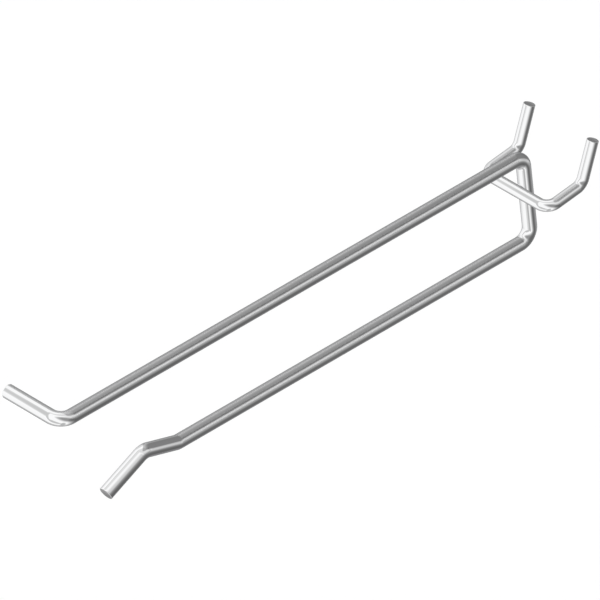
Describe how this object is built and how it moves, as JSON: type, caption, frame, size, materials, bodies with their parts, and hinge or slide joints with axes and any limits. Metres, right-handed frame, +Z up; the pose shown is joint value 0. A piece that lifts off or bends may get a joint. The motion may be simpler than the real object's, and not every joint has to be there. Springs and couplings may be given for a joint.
{
  "type": "pegboard hook",
  "caption": "Overarm wire display hook for pegboard: a bent wire with a carrying arm, a ticket bar arm and a humped nose, on a welded staple whose pegs turn up behind the board.",
  "frame": {"origin": "on the face of the board, midway between the axes of the two pegs", "axes": "+Y along the pegs into the board, +X along the line of the pegs, to the right seen from the front, +Z up"},
  "size_m": [0.0358, 0.2036, 0.0569],
  "materials": {
    "plated_wire": "bright plated drawn steel wire"
  },
  "bodies": {
    "root": {"hook_wire": "plated_wire", "peg_staple": "plated_wire"}
  },
  "joints": []
}
